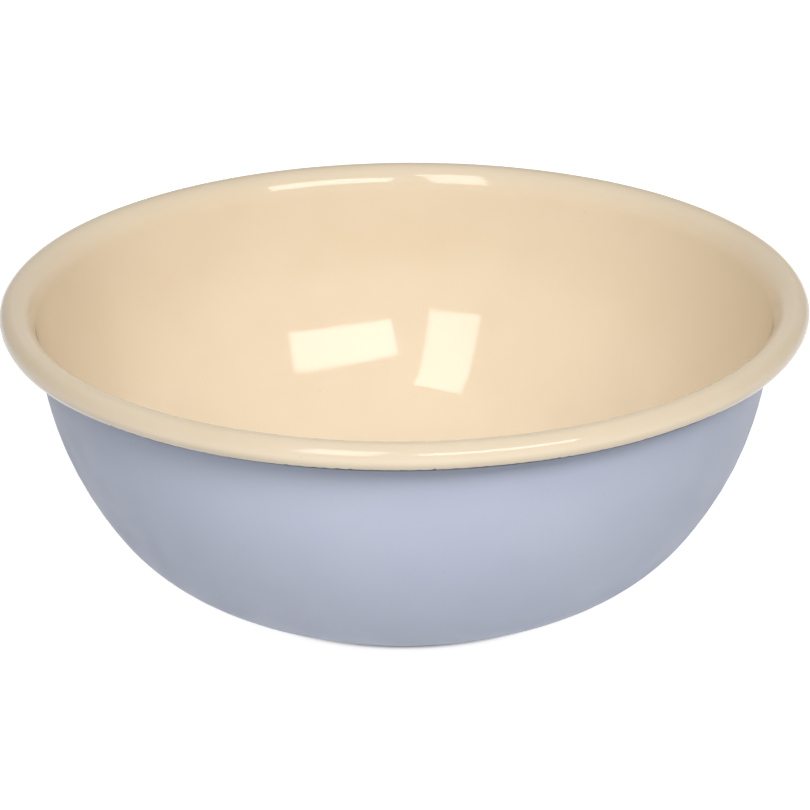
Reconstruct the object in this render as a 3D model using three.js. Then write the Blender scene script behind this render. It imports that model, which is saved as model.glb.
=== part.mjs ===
// An enamelled steel kitchen bowl: one deep-drawn sheet with a rolled rim, under its fired coats of enamel.
// Millimetres, +Z up. The origin is on the table, under the middle of the bowl.
import * as THREE from 'three';

// The finished bowl, over its enamel
const RIM_DIAMETER = 220;
const HEIGHT = 82;

// The base: a flat ring to stand on, round a panel that is pressed up clear of the table
const STANDING_DIAMETER = 84;
const STANDING_RING_WIDTH = 6;
const PANEL_RISE = 0.8;
const PANEL_STEP_RADIUS = 5;

// The wall, on its inside face: a full corner turns up out of the base, a slower curve takes over,
// and the top of the wall is a straight lean
const CORNER_TURN_DEGREES = 55;
const WALL_LEAN_DEGREES = 10;
const STRAIGHT_WALL = 16.5;

// The rim, on its visible face: the wall flares out slowly, a tighter lip takes it to the crest, and from
// there it rolls over into a hollow bead. The slot is the open gap that the curl leaves to the flare.
const FLARE_RADIUS = 12;
const LIP_RADIUS = 5.4;
const LIP_TURN_DEGREES = 60;
const BEAD_RADIUS = 3.55;
const CURL_SLOT = 0.7;

// Where the coats stop. The blue reaches up under the flare to the lip. On the bead, going on from its
// widest line, come the rest of the cream, a bare line, the blue of the underside and a bare tail.
const CREAM_TURN_DEGREES = 45;
const BARE_LINE_TURN_DEGREES = 21;
const UNDER_RIM_TURN_DEGREES = 73;

// Thicknesses
const SHEET = 0.6;
const GROUND_COAT = 0.12;
const COVER_COAT = 0.18;

// The coats are fused on. This hair's breadth keeps rounding from pushing one layer into the next.
const LAYER_GAP = 0.002;

// Facets: around the bowl, and along each curve of the section
const FACETS_AROUND = 36;
const STEP_FACETS = 1;
const CORNER_FACETS = 3;
const WALL_FACETS = 3;
const LIP_FACETS = 3;
const BEAD_TOP_FACETS = 3;
const BEAD_FLANK_FACETS = 2;
const UNDER_RIM_FACETS = 2;

// Looks of the enamels and of the bare sheet
const CREAM_COLOUR = 0xf0dcb9;
const BLUE_COLOUR = 0xb9c1d3;
const GROUND_COLOUR = 0x23262c;
const ENAMEL_ROUGHNESS = 0.15;
const STEEL_COLOUR = 0x8f9296;
const STEEL_ROUGHNESS = 0.45;

const radians = THREE.MathUtils.degToRad;

// The layers, as depths below the visible inside face
const CREAM = layerBelow(-LAYER_GAP, COVER_COAT);
const INNER_GROUND = layerBelow(CREAM.back, GROUND_COAT);
const STEEL = layerBelow(INNER_GROUND.back, SHEET);
const OUTER_GROUND = layerBelow(STEEL.back, GROUND_COAT);
const BLUE = layerBelow(OUTER_GROUND.back, COVER_COAT);
const WALL_THICKNESS = BLUE.back;

function layerBelow(backAbove, thickness) {
  const face = backAbove + LAYER_GAP;
  return { face, back: face + thickness };
}

// Unit vector along a heading in the section plane, where x is the radius and y the height
function along(heading) {
  return new THREE.Vector2(Math.cos(heading), Math.sin(heading));
}

// Unit vector to the left of a heading, which is the bowl's inside all along the wall
function leftOf(heading) {
  return new THREE.Vector2(-Math.sin(heading), Math.cos(heading));
}

// The visible inside face of the bowl in section, drawn from the axis out to the raw edge of the curl.
// Every layer is an offset of this one line, so the layers share their faces.
class SectionLine {
  constructor(startHeight) {
    this.end = new THREE.Vector2(0, startHeight);
    this.heading = 0;
    this.stations = [];
    this.addStation();
  }

  addStation() {
    this.stations.push({ point: this.end.clone(), outward: leftOf(this.heading).negate() });
  }

  // Index of the latest station, kept to say where a coat starts or stops
  get here() {
    return this.stations.length - 1;
  }

  straight(length) {
    this.end.addScaledVector(along(this.heading), length);
    this.addStation();
    return this.here;
  }

  // A positive angle turns to the left, and a negative one to the right
  turn(radius, angle, facets) {
    const reach = Math.sign(angle) * radius;
    const centre = this.end.clone().addScaledVector(leftOf(this.heading), reach);
    const startHeading = this.heading;
    for (let step = 1; step <= facets; step += 1) {
      this.heading = startHeading + (angle * step) / facets;
      this.end = centre.clone().addScaledVector(leftOf(this.heading), -reach);
      this.addStation();
    }
    return this.here;
  }
}

// Middle of the flare's arc, found by going back from the crest over the lip
function flareMiddle(lipTurn) {
  const lipMiddle = new THREE.Vector2(RIM_DIAMETER / 2 - BEAD_RADIUS, HEIGHT - LIP_RADIUS);
  return lipMiddle.addScaledVector(leftOf(lipTurn), LIP_RADIUS - FLARE_RADIUS);
}

// How far the sheet rolls on from the crest, until its raw edge is the slot's width from the flare
function curlTurn(flareCentre) {
  const beadMiddle = new THREE.Vector2(RIM_DIAMETER / 2 - BEAD_RADIUS, HEIGHT - BEAD_RADIUS);
  const toFlare = flareCentre.clone().sub(beadMiddle);
  const reach = FLARE_RADIUS - WALL_THICKNESS - CURL_SLOT;
  const cosine = (toFlare.lengthSq() + BEAD_RADIUS ** 2 - reach ** 2) / (2 * toFlare.length() * BEAD_RADIUS);
  return Math.atan2(toFlare.x, toFlare.y) + Math.acos(cosine);
}

// Radii of the corner and of the slower curve that follows it, which have to lead from the standing ring
// to the foot of the straight lean. Their runs and rises add up to the whole, which gives both radii.
function wallRadii(cornerTurn, wallHeading, flareCentre) {
  const flareStart = flareCentre.clone().addScaledVector(leftOf(wallHeading), FLARE_RADIUS);
  const curveEnd = flareStart.clone().addScaledVector(along(wallHeading), -STRAIGHT_WALL);
  const run = curveEnd.x - STANDING_DIAMETER / 2;
  const rise = curveEnd.y - WALL_THICKNESS;
  const cornerRun = Math.sin(cornerTurn);
  const cornerRise = 1 - Math.cos(cornerTurn);
  const curveRun = Math.sin(wallHeading) - Math.sin(cornerTurn);
  const curveRise = Math.cos(cornerTurn) - Math.cos(wallHeading);
  const determinant = cornerRun * curveRise - cornerRise * curveRun;
  return {
    corner: (run * curveRise - rise * curveRun) / determinant,
    curve: (rise * cornerRun - run * cornerRise) / determinant,
  };
}

// The raised base panel meets the standing ring in an S of two equal arcs
const stepAngle = Math.acos(1 - PANEL_RISE / (2 * PANEL_STEP_RADIUS));
const stepRun = 2 * PANEL_STEP_RADIUS * Math.sin(stepAngle);
const panelRadius = STANDING_DIAMETER / 2 - STANDING_RING_WIDTH - stepRun;

const cornerTurn = radians(CORNER_TURN_DEGREES);
const wallHeading = radians(90 - WALL_LEAN_DEGREES);
const lipTurn = radians(LIP_TURN_DEGREES);
const flareCentre = flareMiddle(lipTurn);
const wall = wallRadii(cornerTurn, wallHeading, flareCentre);
const toWidest = Math.PI / 2;
const coated = toWidest + radians(CREAM_TURN_DEGREES + BARE_LINE_TURN_DEGREES + UNDER_RIM_TURN_DEGREES);
const bareTail = curlTurn(flareCentre) - coated;

const section = new SectionLine(WALL_THICKNESS + PANEL_RISE);
const onAxis = section.here;
section.straight(panelRadius);
section.turn(PANEL_STEP_RADIUS, -stepAngle, STEP_FACETS);
section.turn(PANEL_STEP_RADIUS, stepAngle, STEP_FACETS);
section.straight(STANDING_RING_WIDTH);
section.turn(wall.corner, cornerTurn, CORNER_FACETS);
section.turn(wall.curve, wallHeading - cornerTurn, WALL_FACETS);
const liningEnd = section.straight(STRAIGHT_WALL);
const blueEnd = section.turn(FLARE_RADIUS, lipTurn - wallHeading, 1);
section.turn(LIP_RADIUS, -lipTurn, LIP_FACETS);
section.turn(BEAD_RADIUS, -toWidest, BEAD_TOP_FACETS);
const creamEnd = section.turn(BEAD_RADIUS, -radians(CREAM_TURN_DEGREES), BEAD_FLANK_FACETS);
const underRimStart = section.turn(BEAD_RADIUS, -radians(BARE_LINE_TURN_DEGREES), 1);
const underRimEnd = section.turn(BEAD_RADIUS, -radians(UNDER_RIM_TURN_DEGREES), UNDER_RIM_FACETS);
const rawEdge = section.turn(BEAD_RADIUS, -bareTail, 1);

// One layer, along a stretch of the section, turned about the bowl's axis
function turned(name, material, layer, first, last) {
  const stations = section.stations.slice(first, last + 1);
  const offsetTo = (depth) => stations.map((s) => s.point.clone().addScaledVector(s.outward, depth));
  const profile = [...offsetTo(layer.back), ...offsetTo(layer.face).reverse()];
  const startsOnAxis = first === onAxis;
  if (!startsOnAxis) {
    profile.push(profile[0].clone());
  }
  const geometry = new THREE.LatheGeometry(profile, FACETS_AROUND);
  geometry.rotateX(Math.PI / 2);
  const mesh = new THREE.Mesh(geometry, material);
  mesh.name = name;
  return mesh;
}

function enamel(color) {
  return new THREE.MeshStandardMaterial({ color, roughness: ENAMEL_ROUGHNESS, metalness: 0 });
}

function bareSteel() {
  return new THREE.MeshStandardMaterial({ color: STEEL_COLOUR, roughness: STEEL_ROUGHNESS, metalness: 1 });
}

const bowl = new THREE.Group();
bowl.add(
  turned('steel_shell', bareSteel(), STEEL, onAxis, rawEdge),
  turned('ground_coat_inside', enamel(GROUND_COLOUR), INNER_GROUND, onAxis, rawEdge),
  turned('ground_coat_outside', enamel(GROUND_COLOUR), OUTER_GROUND, onAxis, rawEdge),
  turned('cream_lining', enamel(CREAM_COLOUR), CREAM, onAxis, liningEnd),
  turned('cream_rim_edging', enamel(CREAM_COLOUR), CREAM, liningEnd, creamEnd),
  turned('blue_outer_coat', enamel(BLUE_COLOUR), BLUE, onAxis, blueEnd),
  turned('blue_under_rim', enamel(BLUE_COLOUR), CREAM, underRimStart, underRimEnd),
);

export default bowl;
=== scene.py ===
# %% [markdown]
# An enamelled steel bowl
#
# The real bowl is one sheet of steel, pressed to shape, with its rim rolled outward into a hollow bead.
# It is dipped and fired twice: a dark ground coat that grips the metal, then a cover coat, cream inside
# and grey-blue outside. This lesson gives each of those layers a smooth surface and a finish of its own.
#
# The solids that carry the sizes are loaded first. They are faceted, so every layer is turned again here
# with many more steps, in the same place, and takes the place of its solid.

# %% Load the frame
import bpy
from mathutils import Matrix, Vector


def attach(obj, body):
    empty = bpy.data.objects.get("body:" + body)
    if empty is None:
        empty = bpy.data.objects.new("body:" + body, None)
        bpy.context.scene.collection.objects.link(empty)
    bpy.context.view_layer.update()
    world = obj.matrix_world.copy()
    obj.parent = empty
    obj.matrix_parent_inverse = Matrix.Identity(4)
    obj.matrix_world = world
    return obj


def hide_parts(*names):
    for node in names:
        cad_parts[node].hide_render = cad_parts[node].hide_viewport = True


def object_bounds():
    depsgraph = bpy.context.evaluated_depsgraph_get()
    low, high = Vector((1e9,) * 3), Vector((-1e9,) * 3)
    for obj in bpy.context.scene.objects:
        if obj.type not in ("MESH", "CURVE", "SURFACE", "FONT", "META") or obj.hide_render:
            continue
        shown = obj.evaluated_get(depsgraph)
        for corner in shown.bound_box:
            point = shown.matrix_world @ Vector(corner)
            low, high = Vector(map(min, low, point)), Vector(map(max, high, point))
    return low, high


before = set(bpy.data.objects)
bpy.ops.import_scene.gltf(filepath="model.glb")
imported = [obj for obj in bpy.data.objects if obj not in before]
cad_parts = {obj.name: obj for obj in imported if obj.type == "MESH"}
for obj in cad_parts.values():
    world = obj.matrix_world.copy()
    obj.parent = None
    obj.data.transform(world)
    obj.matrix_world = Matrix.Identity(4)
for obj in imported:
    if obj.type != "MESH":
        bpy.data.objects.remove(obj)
cad_low, cad_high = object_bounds()
print("CAD box in mm:", [round(1000 * side, 2) for side in cad_high - cad_low])

# %% [markdown]
# The section line
#
# A bowl like this is a body of revolution, so one line says it all: the visible inside face in section,
# from the axis out to the raw edge in the curl. Subdividing the faceted solid would be quicker, but it
# rounds off the flat standing ring and lets the thin layers cut through each other. Drawing the line
# again from straight stretches and arcs keeps the true radii, and every layer is then an offset of that
# one line.
#
# The overall sizes come from the frame. The rest repeats the part's own driving sizes, in metres.

# %% Sizes
import math
import random
from collections import namedtuple

import bpy
import numpy as np
from mathutils import Matrix, Vector

MM = 0.001
RIM_RADIUS = cad_high.x
HEIGHT = cad_high.z
STANDING_RADIUS = 42 * MM
STANDING_RING_WIDTH = 6 * MM
PANEL_RISE = 0.8 * MM
PANEL_STEP_RADIUS = 5 * MM
CORNER_TURN = math.radians(55)
WALL_LEAN_DEGREES = 10
WALL_HEADING = math.radians(90 - WALL_LEAN_DEGREES)
STRAIGHT_WALL = 16.5 * MM
FLARE_RADIUS = 12 * MM
LIP_RADIUS = 5.4 * MM
LIP_TURN = math.radians(60)
BEAD_RADIUS = 3.55 * MM
CURL_SLOT = 0.7 * MM
CREAM_TURN = math.radians(45)
BARE_LINE_TURN = math.radians(21)
UNDER_RIM_TURN = math.radians(73)
print(f"rim {2000 * RIM_RADIUS:.1f} mm across, {1000 * HEIGHT:.1f} mm high")

# %% Depths of the layers below the inside face
SHEET = 0.6 * MM
GROUND_COAT = 0.12 * MM
COVER_COAT = 0.18 * MM
LAYER_GAP = 0.002 * MM

Layer = namedtuple("Layer", "face back")


def layer_below(back_above, thickness):
    """Depths of a layer's face and back, a hair's breadth under the layer above it."""
    face = back_above + LAYER_GAP
    return Layer(face, face + thickness)


CREAM = layer_below(-LAYER_GAP, COVER_COAT)
INNER_GROUND = layer_below(CREAM.back, GROUND_COAT)
STEEL = layer_below(INNER_GROUND.back, SHEET)
OUTER_GROUND = layer_below(STEEL.back, GROUND_COAT)
BLUE = layer_below(OUTER_GROUND.back, COVER_COAT)
WALL_THICKNESS = BLUE.back
print(f"wall {1000 * WALL_THICKNESS:.3f} mm thick in five layers")

# %% A pen that draws the section
CURVE_STEP = math.radians(2.5)


class SectionPen:
    """Draws the inside face as stations of radius, height and heading."""

    def __init__(self, start_height):
        self.radius = 0.0
        self.height = start_height
        self.heading = 0.0
        self.stations = []
        self.add_station()

    def add_station(self):
        self.stations.append((self.radius, self.height, self.heading))

    def here(self):
        """Number of the latest station, kept to say where a coat starts or stops."""
        return len(self.stations) - 1

    def straight(self, length, steps):
        for _ in range(steps):
            self.radius += math.cos(self.heading) * length / steps
            self.height += math.sin(self.heading) * length / steps
            self.add_station()
        return self.here()

    def turn(self, bend, angle):
        """An arc: a positive angle turns to the left, a negative one to the right.

        Its steps bunch up at both ends, so that the shading runs on smoothly into the next stretch.
        """
        reach = math.copysign(bend, angle)
        centre_radius = self.radius - math.sin(self.heading) * reach
        centre_height = self.height + math.cos(self.heading) * reach
        start = self.heading
        steps = math.ceil(abs(angle) / CURVE_STEP)
        for step in range(1, steps + 1):
            self.heading = start + angle * (1 - math.cos(math.pi * step / steps)) / 2
            self.radius = centre_radius + math.sin(self.heading) * reach
            self.height = centre_height - math.cos(self.heading) * reach
            self.add_station()
        return self.here()


# %% Directions in the section, as radius and height
def along(heading):
    return np.array((math.cos(heading), math.sin(heading)))


def left_of(heading):
    """To the left of a heading, which is the bowl's inside all along the wall."""
    return np.array((-math.sin(heading), math.cos(heading)))


# %% Radii that follow from the sizes
crest_radius = RIM_RADIUS - BEAD_RADIUS
lip_middle = np.array((crest_radius, HEIGHT - LIP_RADIUS))
flare_middle = lip_middle + (LIP_RADIUS - FLARE_RADIUS) * left_of(LIP_TURN)
lean_foot = flare_middle + FLARE_RADIUS * left_of(WALL_HEADING) - STRAIGHT_WALL * along(WALL_HEADING)
wall_run_and_rise = lean_foot - (STANDING_RADIUS, WALL_THICKNESS)
corner_and_curve = np.array(
    [
        [math.sin(CORNER_TURN), math.sin(WALL_HEADING) - math.sin(CORNER_TURN)],
        [1 - math.cos(CORNER_TURN), math.cos(CORNER_TURN) - math.cos(WALL_HEADING)],
    ]
)
corner_radius, curve_radius = np.linalg.solve(corner_and_curve, wall_run_and_rise)
step_angle = math.acos(1 - PANEL_RISE / (2 * PANEL_STEP_RADIUS))
step_run = 2 * PANEL_STEP_RADIUS * math.sin(step_angle)
panel_radius = STANDING_RADIUS - STANDING_RING_WIDTH - step_run
print(f"corner radius {1000 * corner_radius:.1f} mm, wall radius {1000 * curve_radius:.1f} mm")

# %% How far the curl rolls
bead_height = HEIGHT - BEAD_RADIUS
to_flare = flare_middle - (crest_radius, bead_height)
flare_distance = math.hypot(*to_flare)
slot_reach = FLARE_RADIUS - WALL_THICKNESS - CURL_SLOT
sides_squared = flare_distance**2 + BEAD_RADIUS**2 - slot_reach**2
raw_edge_cosine = sides_squared / (2 * flare_distance * BEAD_RADIUS)
curl_turn = math.atan2(*to_flare) + math.acos(raw_edge_cosine)
print(f"the curl rolls on {math.degrees(curl_turn):.1f} degrees past the crest, and leaves its slot open")

# %% Draw the section
PANEL_STEPS = 6
RING_STEPS = 3
LEAN_STEPS = 6

pen = SectionPen(WALL_THICKNESS + PANEL_RISE)
pen.straight(panel_radius, PANEL_STEPS)
pen.turn(PANEL_STEP_RADIUS, -step_angle)
pen.turn(PANEL_STEP_RADIUS, step_angle)
pen.straight(STANDING_RING_WIDTH, RING_STEPS)
pen.turn(corner_radius, CORNER_TURN)
pen.turn(curve_radius, WALL_HEADING - CORNER_TURN)
lining_end = pen.straight(STRAIGHT_WALL, LEAN_STEPS)
blue_end = pen.turn(FLARE_RADIUS, LIP_TURN - WALL_HEADING)
crest = pen.turn(LIP_RADIUS, -LIP_TURN)
raw_edge = pen.turn(BEAD_RADIUS, -curl_turn)
section = np.array(pen.stations)
widest = 1000 * section[:, 0].max()
highest = 1000 * section[crest, 1]
print(f"{len(section)} stations, out to {widest:.2f} mm and up to {highest:.2f} mm")


# %% Offset a stretch of the section
def at_depth(stations, depth):
    """Points of the section at a depth below the inside face, as rows of radius and height."""
    radius, height, heading = stations.T
    return np.column_stack((radius + np.sin(heading) * depth, height - np.cos(heading) * depth))


def layer_outline(layer, last):
    """Once round a layer, from the axis to its last station: out along its back, home along its face."""
    stations = section[: last + 1]
    return np.vstack((at_depth(stations, layer.back), at_depth(stations, layer.face)[::-1]))


# %% [markdown]
# Turning an outline
#
# Blender's Screw modifier turns a profile too, but it gives every angle the same profile. On the real
# bowl the coats end in an uneven line under the bead, so the mesh is filled in by hand: one column of
# points for each angle, which may differ from its neighbours. The pressed sheet is also never quite true.
# A slow waver of a few hundredths of a millimetre, the same for every layer, bends the reflections in it
# as they bend on the real one.

# %% Wavering lines
WAVES = 24


def wavering(azimuths, periods, seed):
    """A closed wavering line round the bowl, of about 1 either way.

    It adds up sine waves. periods is the fewest and the most that one of them has round the bowl.
    """
    draw = random.Random(seed)
    line = np.zeros_like(azimuths)
    for _ in range(WAVES):
        count = draw.randint(*periods)
        start = draw.uniform(0, 2 * math.pi)
        line += np.sin(count * azimuths + start)
    return line / math.sqrt(WAVES / 2)


# %% The waver of the pressed wall
PRESS_WAVER = 0.035 * MM
PRESS_PERIODS = (3, 13)
LOWER_WAVER_SEED = 11
UPPER_WAVER_SEED = 12
WAVER_CLEAR_HEIGHT = 4 * MM
WAVER_FULL_HEIGHT = 30 * MM
WAVER_LENGTH = 55 * MM


def press_waver(azimuths, heights):
    """How far the pressed wall stands out from true. The base stays flat."""
    rise = np.clip((heights - WAVER_CLEAR_HEIGHT) / (WAVER_FULL_HEIGHT - WAVER_CLEAR_HEIGHT), 0, 1)
    lower = wavering(azimuths, PRESS_PERIODS, LOWER_WAVER_SEED)[:, None]
    upper = wavering(azimuths, PRESS_PERIODS, UPPER_WAVER_SEED)[:, None]
    phase = 2 * math.pi * heights / WAVER_LENGTH
    return PRESS_WAVER * rise * (lower * np.cos(phase) + upper * np.sin(phase))


# %% Points and faces of a turned outline
def angles_round(around):
    return np.linspace(0, 2 * math.pi, around, endpoint=False)


def turned_points(outlines):
    """Places of all points: a column for each angle, with the waver of the pressed wall in it."""
    azimuths = angles_round(len(outlines))
    true_radius, height = outlines[:, :, 0], outlines[:, :, 1]
    radius = true_radius + press_waver(azimuths, height) * (true_radius > 0)
    across = radius * np.cos(azimuths)[:, None]
    deep = radius * np.sin(azimuths)[:, None]
    return np.stack((across, deep, height), axis=-1)


def turned_faces(index, on_axis):
    """Faces between neighbouring columns of points. At the axis they are triangles."""
    points_round = index.shape[1]
    ahead = np.roll(index, -1, axis=0)
    rows = points_round - 1 if on_axis else points_round
    faces = []
    for row in range(rows):
        above = (row + 1) % points_round
        corners = np.column_stack((index[:, row], ahead[:, row], ahead[:, above], index[:, above]))
        faces.extend(tuple(dict.fromkeys(face)) for face in corners.tolist())
    return faces


# %% Turn an outline into a mesh
SHARP_EDGE = math.radians(40)
THINNESS = "coat_thinness"


def turn_outline(name, outlines, on_axis, thinness=None):
    """A closed solid of revolution. outlines holds, for each angle, the points of one closed outline."""
    shape = outlines.shape[:2]
    index = np.arange(shape[0] * shape[1]).reshape(shape)
    if on_axis:
        index[:, 0] = index[0, 0]
        index[:, -1] = index[0, -1]
    used, numbers = np.unique(index, return_inverse=True)
    points = turned_points(outlines).reshape(-1, 3)[used]
    mesh = bpy.data.meshes.new(name)
    mesh.from_pydata(points.tolist(), [], turned_faces(numbers.reshape(shape), on_axis))
    mesh.validate()
    mesh.shade_smooth()
    mesh.set_sharp_from_angle(angle=SHARP_EDGE)
    thin = mesh.attributes.new(THINNESS, "FLOAT", "POINT")
    values = np.zeros(shape) if thinness is None else thinness
    thin.data.foreach_set("value", values.reshape(-1)[used].astype(np.float32))
    piece = bpy.data.objects.new(name, mesh)
    bpy.context.scene.collection.objects.link(piece)
    print(f"{name}: {len(mesh.vertices)} points, {len(mesh.polygons)} faces")
    return piece


# %% Put a piece in its place
def dress(piece, node, material):
    """The piece stands for a solid of the frame, in its place and on its body."""
    piece.data.materials.append(material)
    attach(piece, "root")
    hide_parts(node)


# %% [markdown]
# Enamel
#
# Enamel is coloured glass, fused on at a red heat. It levels out while it is molten, but not quite: its
# skin keeps a faint orange peel, its colour drifts a little with its thickness, and a few specks and
# pinholes stay in it. Where it runs thin, the dark coat under it greys the colour, and it loses its
# gloss. A flat glossy colour would miss all of that, so the finish is built from a few layers of noise at
# real sizes, in metres. How thin the coat is comes with the mesh, as a number at each point.

# %% Colours, and a finish to start from
def linear(red, green, blue):
    """A colour as it is seen on a screen, 0 to 255, as the linear values that a shader takes."""
    channels = [value / 255 for value in (red, green, blue)]
    curve = [c / 12.92 if c <= 0.04045 else ((c + 0.055) / 1.055) ** 2.4 for c in channels]
    return (*curve, 1.0)


def new_finish(name):
    material = bpy.data.materials.new(name)
    material.use_nodes = True
    tree = material.node_tree
    print("finish:", name)
    return material, tree, tree.nodes["Principled BSDF"]


# %% Noise on the bowl, and the span of it that is used
def place_on_bowl(tree):
    return tree.nodes.new("ShaderNodeTexCoord").outputs["Object"]


def noise(tree, place, size, detail):
    """Soft noise whose lumps are about size across, in metres."""
    node = tree.nodes.new("ShaderNodeTexNoise")
    node.inputs["Scale"].default_value = 1 / size
    node.inputs["Detail"].default_value = detail
    tree.links.new(place, node.inputs["Vector"])
    return node.outputs["Fac"]


def remap(tree, value, span, result=(0, 1)):
    """Stretches a span of values over a range of results, with a soft start and a soft stop."""
    node = tree.nodes.new("ShaderNodeMapRange")
    node.interpolation_type = "SMOOTHSTEP"
    for socket, number in zip(("From Min", "From Max", "To Min", "To Max"), (*span, *result)):
        node.inputs[socket].default_value = number
    tree.links.new(value, node.inputs["Value"])
    return node.outputs["Result"]


# %% Blends and specks
# A Mix node has a set of sockets for each kind of value. These are the ones for colours.
FIRST_COLOUR = 6
SECOND_COLOUR = 7
BLENDED_COLOUR = 2
SPECK_CORE = 0.6


def blend_colours(tree, share, first, second):
    """A mix of two colours; each is a colour or the output of another node."""
    node = tree.nodes.new("ShaderNodeMix")
    node.data_type = "RGBA"
    tree.links.new(share, node.inputs["Factor"])
    for socket, colour in ((node.inputs[FIRST_COLOUR], first), (node.inputs[SECOND_COLOUR], second)):
        if isinstance(colour, bpy.types.NodeSocket):
            tree.links.new(colour, socket)
        else:
            socket.default_value = colour
    return node.outputs[BLENDED_COLOUR]


def specks(tree, place, spacing, size):
    """1 inside sparse round specks, 0 elsewhere."""
    node = tree.nodes.new("ShaderNodeTexVoronoi")
    node.inputs["Scale"].default_value = 1 / spacing
    tree.links.new(place, node.inputs["Vector"])
    edge = size / spacing / 2
    return remap(tree, node.outputs["Distance"], (SPECK_CORE * edge, edge), (1, 0))


# %% Thinness and relief
def thinness_of_coat(tree):
    node = tree.nodes.new("ShaderNodeAttribute")
    node.attribute_name = THINNESS
    return node.outputs["Fac"]


def skin(tree, shader, layers):
    """Relief from several layers, each a noise output with its height in metres."""
    normal = None
    for height, relief in layers:
        node = tree.nodes.new("ShaderNodeBump")
        node.inputs["Distance"].default_value = relief
        tree.links.new(height, node.inputs["Height"])
        if normal is not None:
            tree.links.new(normal, node.inputs["Normal"])
        normal = node.outputs["Normal"]
    tree.links.new(normal, shader.inputs["Normal"])


# %% The enamel finish
ENAMEL_IOR = 1.4
DRIFT_SIZE = 38 * MM
DRIFT_SPAN = (0.35, 0.7)
SPECK_SPACING = 8 * MM
SPECK_SIZE = 0.36 * MM
DULL_PATCH_SIZE = 11 * MM
DULL_PATCH_SPAN = (0.3, 0.7)
THIN_DULLING = 0.15
FULL_GLOSS = 0.5
THIN_GLOSS = 0.05
GLOSS_FADES_OVER = (0.1, 0.5)
FLOW_SIZE = 12 * MM
FLOW_HEIGHT = 0.015 * MM
ORANGE_PEEL_SIZE = 2.6 * MM
ORANGE_PEEL_HEIGHT = 0.004 * MM


def enamel(name, colour, drift_colour, speck_colour, thin_colour, roughness):
    """Fired enamel. roughness is the lowest and the highest of its skin."""
    material, tree, shader = new_finish(name)
    place = place_on_bowl(tree)
    thinness = thinness_of_coat(tree)
    drift = remap(tree, noise(tree, place, DRIFT_SIZE, detail=3), DRIFT_SPAN)
    body = blend_colours(tree, drift, colour, drift_colour)
    specked = blend_colours(tree, specks(tree, place, SPECK_SPACING, SPECK_SIZE), body, speck_colour)
    # The thin colour greys the coat where it runs thin; over the bead's shoulder it is partly painted shade.
    painted = blend_colours(tree, thinness, specked, thin_colour)
    tree.links.new(painted, shader.inputs["Base Color"])
    patches = remap(tree, noise(tree, place, DULL_PATCH_SIZE, detail=4), DULL_PATCH_SPAN, roughness)
    dull = tree.nodes.new("ShaderNodeMath")
    dull.operation = "MULTIPLY_ADD"
    dull.inputs[1].default_value = THIN_DULLING
    tree.links.new(thinness, dull.inputs[0])
    tree.links.new(patches, dull.inputs[2])
    tree.links.new(dull.outputs[0], shader.inputs["Roughness"])
    gleam = remap(tree, thinness, GLOSS_FADES_OVER, (FULL_GLOSS, THIN_GLOSS))
    tree.links.new(gleam, shader.inputs["Specular IOR Level"])
    shader.inputs["IOR"].default_value = ENAMEL_IOR
    flow = (noise(tree, place, FLOW_SIZE, detail=1), FLOW_HEIGHT)
    orange_peel = (noise(tree, place, ORANGE_PEEL_SIZE, detail=1), ORANGE_PEEL_HEIGHT)
    skin(tree, shader, [flow, orange_peel])
    return material


# %% The two cover coats
cream_enamel = enamel(
    "cream_enamel",
    colour=linear(243, 226, 199),
    drift_colour=linear(240, 222, 194),
    speck_colour=linear(214, 192, 158),
    thin_colour=linear(150, 132, 106),
    roughness=(0.05, 0.09),
)
blue_enamel = enamel(
    "blue_enamel",
    colour=linear(202, 208, 226),
    drift_colour=linear(198, 205, 224),
    speck_colour=linear(160, 170, 190),
    thin_colour=linear(92, 100, 114),
    roughness=(0.5, 0.6),
)

# %% [markdown]
# The ground coat and the steel
#
# The ground coat is a blue-black glass that grips the metal. It shows only where the cover coats stop: in
# the thin line under the bead and inside the curl. It is bubbly, so it gets pits. The steel itself shows
# at the raw edge in the curl, where the glass draws back in firing. It comes out of the furnace dull,
# with a brown and grey scale on it, and not as a bright metal. One dark colour would do for so little of
# them in sight, but a close look into the curl would show it up, so both are clouded and uneven.

# %% The ground coat's finish
GROUND_COLOUR = linear(29, 32, 38)
GROUND_CLOUD_COLOUR = linear(50, 56, 63)
GROUND_CLOUD_SIZE = 1.8 * MM
GROUND_CLOUD_SPAN = (0.3, 0.7)
GROUND_ROUGHNESS = (0.16, 0.34)
PIT_COLOUR = linear(74, 70, 66)
PIT_SPACING = 1.1 * MM
PIT_SIZE = 0.3 * MM
BUBBLE_SIZE = 0.9 * MM
BUBBLE_HEIGHT = 0.02 * MM
WHOLE_SPAN = (0, 1)


def ground_coat_finish():
    material, tree, shader = new_finish("ground_enamel")
    place = place_on_bowl(tree)
    cloud = remap(tree, noise(tree, place, GROUND_CLOUD_SIZE, detail=4), GROUND_CLOUD_SPAN)
    dark = blend_colours(tree, cloud, GROUND_COLOUR, GROUND_CLOUD_COLOUR)
    pitted = blend_colours(tree, specks(tree, place, PIT_SPACING, PIT_SIZE), dark, PIT_COLOUR)
    tree.links.new(pitted, shader.inputs["Base Color"])
    tree.links.new(remap(tree, cloud, WHOLE_SPAN, GROUND_ROUGHNESS), shader.inputs["Roughness"])
    shader.inputs["IOR"].default_value = ENAMEL_IOR
    skin(tree, shader, [(noise(tree, place, BUBBLE_SIZE, detail=3), BUBBLE_HEIGHT)])
    return material


ground_enamel = ground_coat_finish()

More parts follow.
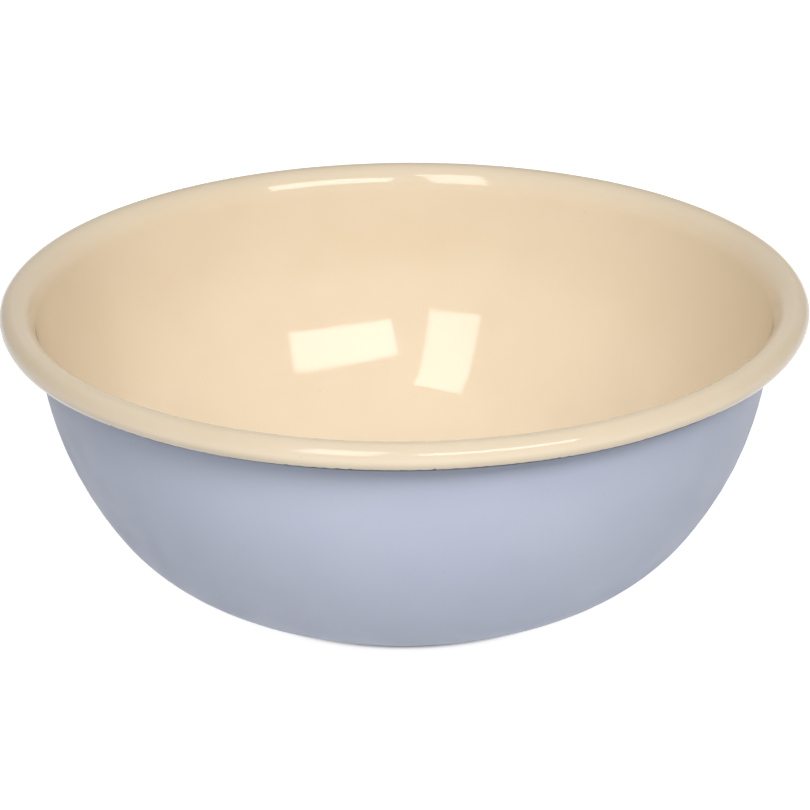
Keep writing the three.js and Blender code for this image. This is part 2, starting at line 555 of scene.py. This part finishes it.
# %% The raw steel's finish
STEEL_COLOUR = linear(122, 122, 124)
SCALE_COLOUR = linear(74, 64, 58)
SCALE_SIZE = 2.4 * MM
SCALE_SPAN = (0.35, 0.65)
STEEL_ROUGHNESS = (0.38, 0.7)
STEEL_GRAIN_SIZE = 0.5 * MM
STEEL_GRAIN_HEIGHT = 0.02 * MM


def raw_steel_finish():
    material, tree, shader = new_finish("raw_steel")
    place = place_on_bowl(tree)
    scale = remap(tree, noise(tree, place, SCALE_SIZE, detail=5), SCALE_SPAN)
    colour = blend_colours(tree, scale, STEEL_COLOUR, SCALE_COLOUR)
    tree.links.new(colour, shader.inputs["Base Color"])
    tree.links.new(remap(tree, scale, WHOLE_SPAN, STEEL_ROUGHNESS), shader.inputs["Roughness"])
    shader.inputs["Metallic"].default_value = 1.0
    skin(tree, shader, [(noise(tree, place, STEEL_GRAIN_SIZE, detail=4), STEEL_GRAIN_HEIGHT)])
    return material


raw_steel = raw_steel_finish()

# %% [markdown]
# The pressed sheet and its ground coats
#
# The sheet runs from the middle of the base to the raw edge of the curl. The ground coats cover it on
# both sides and follow it all the way. They could be left out of the picture, since the cover coats hide
# nearly all of them, but the slot of the curl and the line under the bead are only right if the layers
# are really there.

# %% Turn the sheet and its ground coats
AROUND = 240


def turn_layer(name, layer, last, around):
    """A sheet or coat of even thickness, from the axis out to its last station."""
    outline = layer_outline(layer, last)
    return turn_outline(name, np.repeat(outline[None, :, :], around, axis=0), on_axis=True)


steel_shell = turn_layer("pressed_sheet", STEEL, raw_edge, AROUND)
dress(steel_shell, "steel_shell", raw_steel)
ground_inside = turn_layer("ground_coat_inner_face", INNER_GROUND, raw_edge, AROUND)
dress(ground_inside, "ground_coat_inside", ground_enamel)
ground_outside = turn_layer("ground_coat_outer_face", OUTER_GROUND, raw_edge, AROUND)
dress(ground_outside, "ground_coat_outside", ground_enamel)

# %% [markdown]
# The cream lining
#
# The cover coat of the inside. It ends where the wall starts to flare, and the edging of the rim carries
# on from there in the same colour, so the two meet face to face with no step. Fewer steps round the bowl
# would do for the lining alone, but both are turned in the same fine steps, because the flats of a
# coarser lining would leave a hairline ledge where they meet.

# %% Turn the lining
FINE_AROUND = 1080

lining = turn_layer("cream_lining_coat", CREAM, lining_end, FINE_AROUND)
dress(lining, "cream_lining", cream_enamel)

# %% [markdown]
# The cream edging of the rim
#
# The rim is edged in cream over the flare and the bead. A brush or a roller lays that band on, so its
# lower edge wanders: slowly where the bowl was turned unevenly, and finely where the wet glass crept. The
# edge also rounds down to nothing, which a plain offset would leave square. Here every angle gets an
# outline of its own, which ends at that angle's place on the bead. The coat is a little thin over the
# bead's shoulder, where the molten glass draws away from the tight curve, and thinnest at its edge. The
# darker colour over the shoulder is partly painted shade as well: it tones down the lamps' light on the
# bead's upper flank.

# %% Places on the bead
def on_bead(turn, depth):
    """Places at a turn past the crest and a depth below the bead's face, as rows of radius and height."""
    reach = BEAD_RADIUS - depth
    return np.column_stack((crest_radius + reach * np.sin(turn), bead_height + reach * np.cos(turn)))


# %% An uneven edge on the bead
SLOW_PERIODS = (3, 14)
FINE_PERIODS = (90, 330)
NICK_PERIODS = (150, 420)
NICK_LEVEL = 0.9


def uneven_edge(mean_turn, slow, fine, nick, seed):
    """Turn past the crest at which a coat stops, at every angle round the rim.

    slow, fine and nick are lengths on the bead. Nicks reach back towards the crest, and negative ones away.
    """
    azimuths = angles_round(FINE_AROUND)
    wander = slow * wavering(azimuths, SLOW_PERIODS, seed) + fine * wavering(azimuths, FINE_PERIODS, seed + 1)
    nicks = np.clip(wavering(azimuths, NICK_PERIODS, seed + 2) - NICK_LEVEL, 0, None)
    edge = mean_turn + (wander - nick * nicks) / BEAD_RADIUS
    print(f"an edge {math.degrees(edge.min()):.1f} to {math.degrees(edge.max()):.1f} degrees past the crest")
    return edge


CREAM_END = math.pi / 2 + CREAM_TURN
cream_edge = uneven_edge(CREAM_END, slow=0.15 * MM, fine=0.05 * MM, nick=0.2 * MM, seed=2778)

# %% Turn the edging
EDGE_ROUNDING = 0.35 * MM / BEAD_RADIUS
EDGE_STEPS = 8
BEAD_STEPS = 30
BACK_EVERY = 3
BEAD_THINNING_AND_SHADE = 0.2


def edging_outlines():
    """For each angle: back of the coat from the flare to the edge, then the face home again."""
    lead_in = section[lining_end : crest + 1]
    share = np.linspace(0, 1, BEAD_STEPS + 1)[1:]
    quarter = np.linspace(0, math.pi / 2, EDGE_STEPS + 1)[1:]
    tip_depth = CREAM.back * (1 - np.cos(quarter))[:-1]
    face_depth = np.concatenate((np.full(BEAD_STEPS, CREAM.face), tip_depth))
    outlines = []
    thinness = []
    for edge in cream_edge:
        shoulder = (edge - EDGE_ROUNDING) * share
        tip = edge - EDGE_ROUNDING + EDGE_ROUNDING * np.sin(quarter)
        face_turn = np.concatenate((shoulder, tip[:-1]))
        back_turn = np.concatenate((shoulder[::BACK_EVERY], [edge]))
        back = np.vstack((at_depth(lead_in, CREAM.back), on_bead(back_turn, CREAM.back)))
        face = np.vstack((at_depth(lead_in, CREAM.face), on_bead(face_turn, face_depth)))
        outlines.append(np.vstack((back, face[::-1])))
        edge_thin = np.clip(1 - (edge - face_turn) / EDGE_ROUNDING, 0, 1) ** 2
        # Darker colour over the bead's shoulder: a thinner coat, and partly painted shade on the bead's upper
        # flank.
        bead_thin_and_shade = BEAD_THINNING_AND_SHADE * np.clip(np.sin(2 * face_turn), 0, None)
        face_thin = bead_thin_and_shade + (1 - bead_thin_and_shade) * edge_thin
        thinness.append(np.concatenate((np.zeros(len(back)), face_thin[::-1], np.zeros(len(lead_in)))))
    return np.array(outlines), np.array(thinness)


outlines, thinness = edging_outlines()
edging = turn_outline("cream_edging", outlines, on_axis=False, thinness=thinness)
dress(edging, "cream_rim_edging", cream_enamel)

# %% [markdown]
# The blue outside
#
# The outer cover coat runs from the base up the wall and ends out of sight under the flare. A second,
# narrow band of it reaches the underside of the bead, past the bare dark line, and has an uneven upper
# edge like the cream's. A blue colour painted on the sheet would do for the wall, but not for the bead,
# where the dark line is a shallow groove between two coats. So the blue is made of two real layers, like
# the cream.

# %% Turn the outer coat
outer_coat = turn_layer("blue_outer_skin", BLUE, blue_end, AROUND)
dress(outer_coat, "blue_outer_coat", blue_enamel)

# %% Turn the blue under the rim
UNDER_RIM_START = CREAM_END + BARE_LINE_TURN
UNDER_RIM_END = UNDER_RIM_START + UNDER_RIM_TURN
UNDER_RIM_STEPS = 18
blue_edge = uneven_edge(UNDER_RIM_START, slow=0.06 * MM, fine=0.06 * MM, nick=-0.1 * MM, seed=31)


def under_rim_outlines():
    """For each angle: the back of the band, then its face, which rises from nothing at the uneven edge."""
    lift = np.linspace(0, math.pi / 2, EDGE_STEPS + 1)[1:-1]
    face_depth = np.concatenate((CREAM.back * (1 - np.sin(lift)), np.full(UNDER_RIM_STEPS + 1, CREAM.face)))
    outlines = []
    thinness = []
    for edge in blue_edge:
        rest = np.linspace(edge + EDGE_ROUNDING, UNDER_RIM_END, UNDER_RIM_STEPS + 1)
        face_turn = np.concatenate((edge + EDGE_ROUNDING * (1 - np.cos(lift)), rest))
        back_turn = np.linspace(edge, UNDER_RIM_END, UNDER_RIM_STEPS + 1)
        back = on_bead(back_turn, CREAM.back)
        face = on_bead(face_turn, face_depth)
        outlines.append(np.vstack((back, face[::-1])))
        face_thin = np.clip(1 - (face_turn - edge) / EDGE_ROUNDING, 0, 1) ** 2
        thinness.append(np.concatenate((np.zeros(len(back)), face_thin[::-1])))
    return np.array(outlines), np.array(thinness)


outlines, thinness = under_rim_outlines()
under_rim = turn_outline("blue_underside_of_bead", outlines, on_axis=False, thinness=thinness)
dress(under_rim, "blue_under_rim", blue_enamel)

# %% [markdown]
# The floor
#
# A plain sheet of pale card. It is lit like the bowl and keeps its shadow. More light would turn it
# white, but it would bleach the bowl too. So the card has a glow of its own besides, just under white,
# which only the camera and reflections see. Ambient occlusion fades the glow out in the narrow gap under
# the bowl, which paints a dark contact shadow along the line of contact.

# %% What is seen directly
def seen_directly(tree):
    """1 for what the camera, a reflection or a glass shows, 0 for the light that falls on things."""
    path = tree.nodes.new("ShaderNodeLightPath")
    seen = path.outputs["Is Camera Ray"]
    for way in ("Is Glossy Ray", "Is Transmission Ray"):
        either = tree.nodes.new("ShaderNodeMath")
        either.operation = "MAXIMUM"
        tree.links.new(seen, either.inputs[0])
        tree.links.new(path.outputs[way], either.inputs[1])
        seen = either.outputs[0]
    return seen


# %% The floor's finish
CARD_COLOUR = (0.6, 0.6, 0.6, 1.0)
FLOOR_GLOW = 0.9
CONTACT_SHADOW_REACH = 2.5 * MM
CONTACT_SHADOW_SPAN = (0.3, 0.75)


def floor_glow(tree):
    """Strength of the card's own glow, faded by ambient occlusion in the gap under the bowl: a painted
    contact shadow.
    """
    # The ambient occlusion below paints the contact shadow on the floor under the bowl.
    gap = tree.nodes.new("ShaderNodeAmbientOcclusion")
    gap.inputs["Distance"].default_value = CONTACT_SHADOW_REACH
    glow = tree.nodes.new("ShaderNodeMath")
    glow.operation = "MULTIPLY"
    tree.links.new(seen_directly(tree), glow.inputs[0])
    tree.links.new(remap(tree, gap.outputs["AO"], CONTACT_SHADOW_SPAN, (0, FLOOR_GLOW)), glow.inputs[1])
    return glow.outputs[0]


def floor_finish():
    material = bpy.data.materials.new("pale_floor")
    material.use_nodes = True
    tree = material.node_tree
    tree.nodes.clear()
    card = tree.nodes.new("ShaderNodeBsdfDiffuse")
    card.inputs["Color"].default_value = CARD_COLOUR
    white = tree.nodes.new("ShaderNodeEmission")
    tree.links.new(floor_glow(tree), white.inputs["Strength"])
    both = tree.nodes.new("ShaderNodeAddShader")
    tree.links.new(card.outputs[0], both.inputs[0])
    tree.links.new(white.outputs[0], both.inputs[1])
    output = tree.nodes.new("ShaderNodeOutputMaterial")
    tree.links.new(both.outputs[0], output.inputs["Surface"])
    return material


# %% Lay the floor
FLOOR_HALF = 3.0
FLOOR_DROP = 0.05 * MM

square = ((-1, -1), (1, -1), (1, 1), (-1, 1))
corners = [(x * FLOOR_HALF, y * FLOOR_HALF, -FLOOR_DROP) for x, y in square]
floor_mesh = bpy.data.meshes.new("floor")
floor_mesh.from_pydata(corners, [], [(0, 1, 2, 3)])
floor_mesh.materials.append(floor_finish())
floor = bpy.data.objects.new("floor", floor_mesh)
bpy.context.scene.collection.objects.link(floor)
print("floor laid", FLOOR_DROP, "m under the bowl")

# %% [markdown]
# The light
#
# Two soft boxes stand in front of the bowl, one wide and low to its right and one tall to its left. Their
# places were worked out backwards: the patches of light on the inside of the wall are mirror images of
# them, so a ray from the camera, reflected at a patch's corner, points at the box's corner. The rest of
# the light comes from the room, which is dim round about and brighter overhead, where the ceiling catches
# some of the lamps' light.

# %% Hang the soft boxes
BOWL_MIDDLE = Vector((0, 0, 0.05))
BOX_DISTANCE = 1.13


def turned_further(facing, turns):
    """A facing after turns about its own axes, one after the other, each an axis and an angle."""
    for axis, angle in turns:
        facing = facing @ Matrix.Rotation(angle, 3, axis)
    return facing


def soft_box(name, azimuth, elevation, size, tilt, radiance):
    """A soft box turned to the bowl. Azimuth 0 is in front of it and grows to its right; angles in degrees.

    tilt is how far the box leans out of facing the bowl, about its width, its height and its middle.
    """
    turn, rise = math.radians(azimuth), math.radians(elevation)
    toward = Vector((math.sin(turn) * math.cos(rise), -math.cos(turn) * math.cos(rise), math.sin(rise)))
    width, height = size
    light = bpy.data.lights.new(name, "AREA")
    light.shape = "RECTANGLE"
    light.size = width
    light.size_y = height
    light.energy = radiance * math.pi * width * height
    lamp = bpy.data.objects.new(name, light)
    lamp.location = BOWL_MIDDLE + BOX_DISTANCE * toward
    facing_bowl = toward.to_track_quat("Z", "Y").to_matrix()
    lamp.rotation_euler = turned_further(facing_bowl, zip("XYZ", map(math.radians, tilt))).to_euler()
    bpy.context.scene.collection.objects.link(lamp)
    print(f"{name}: {light.energy:.2f} W at {[round(c, 3) for c in lamp.location]}")


soft_box(
    "wide_box",
    azimuth=24.7,
    elevation=36.4,
    size=(0.76, 0.28),
    tilt=(6.0, 14.4, -3.2),
    radiance=8.65,
)
soft_box(
    "tall_box",
    azimuth=-18.5,
    elevation=43.6,
    size=(0.37, 0.71),
    tilt=(13.5, -24.3, -1.7),
    radiance=7.25,
)

# %% The room
ROOM_LIGHT = 0.02
CEILING_LIGHT = 0.26
WALLS_SEEN = 0.85
WALL_COLOUR = (1.0, 0.87, 0.72, 1.0)
CEILING_COLOUR = (1.0, 1.0, 1.0, 1.0)
WALLS_TO_CEILING = (math.sin(math.radians(4)), math.sin(math.radians(28)))


def room():
    """Warm walls under a white ceiling. The walls are bright where they are seen, and give little light."""
    world = bpy.data.worlds.new("room")
    world.use_nodes = True
    tree = world.node_tree
    split = tree.nodes.new("ShaderNodeSeparateXYZ")
    tree.links.new(tree.nodes.new("ShaderNodeTexCoord").outputs["Generated"], split.inputs[0])
    upward = split.outputs["Z"]
    overhead = remap(tree, upward, WALLS_TO_CEILING)
    lighting = remap(tree, upward, WALLS_TO_CEILING, (ROOM_LIGHT, CEILING_LIGHT))
    look = remap(tree, upward, WALLS_TO_CEILING, (WALLS_SEEN, CEILING_LIGHT))
    brightness = tree.nodes.new("ShaderNodeMapRange")
    tree.links.new(lighting, brightness.inputs["To Min"])
    tree.links.new(look, brightness.inputs["To Max"])
    tree.links.new(seen_directly(tree), brightness.inputs["Value"])
    background = tree.nodes["Background"]
    colour = blend_colours(tree, overhead, WALL_COLOUR, CEILING_COLOUR)
    tree.links.new(colour, background.inputs["Color"])
    tree.links.new(brightness.outputs["Result"], background.inputs["Strength"])
    return world


bpy.context.scene.world = room()
bpy.context.scene.view_settings.view_transform = "Standard"
print("light of the room", ROOM_LIGHT, "and of its ceiling", CEILING_LIGHT)

# %% [markdown]
# The camera
#
# It stands where the photograph was taken from: the height of the rim's ellipse against its width gives
# the angle, and the difference between the rim's near and far halves gives the distance. A shift of the
# lens could bring the bowl to its place in the frame, but it would stay on in every other view. So the
# camera looks at the middle of the rim first, then turns a little to bring that point to its place.

# %% Set the camera
FRAME_PIXELS = 810
FOCAL_PIXELS = 3014.14
RIM_MIDDLE_PIXEL = (405.1, 298.7)
CAMERA_DISTANCE = 0.825
CAMERA_ELEVATION = math.radians(20.965)
CAMERA_ROLL = math.radians(-0.48)

target = Vector((0, 0, bead_height))
stand = target + CAMERA_DISTANCE * Vector((0, -math.cos(CAMERA_ELEVATION), math.sin(CAMERA_ELEVATION)))
ahead = (target - stand).normalized()
right = Vector((1, 0, 0))
facing_rim = Matrix((right, right.cross(ahead), -ahead)).transposed()
pan, tilt = (math.atan2(pixel - FRAME_PIXELS / 2, FOCAL_PIXELS) for pixel in RIM_MIDDLE_PIXEL)
facing = turned_further(facing_rim, (("Y", pan), ("X", tilt), ("Z", CAMERA_ROLL)))
camera_data = bpy.data.cameras.new("camera")
camera_data.lens = FOCAL_PIXELS / FRAME_PIXELS * camera_data.sensor_width
camera = bpy.data.objects.new("camera", camera_data)
camera.matrix_world = Matrix.Translation(stand) @ facing.to_4x4()
bpy.context.scene.collection.objects.link(camera)
bpy.context.scene.camera = camera
print(f"lens {camera_data.lens:.1f} mm, camera at {[round(c, 3) for c in stand]}")
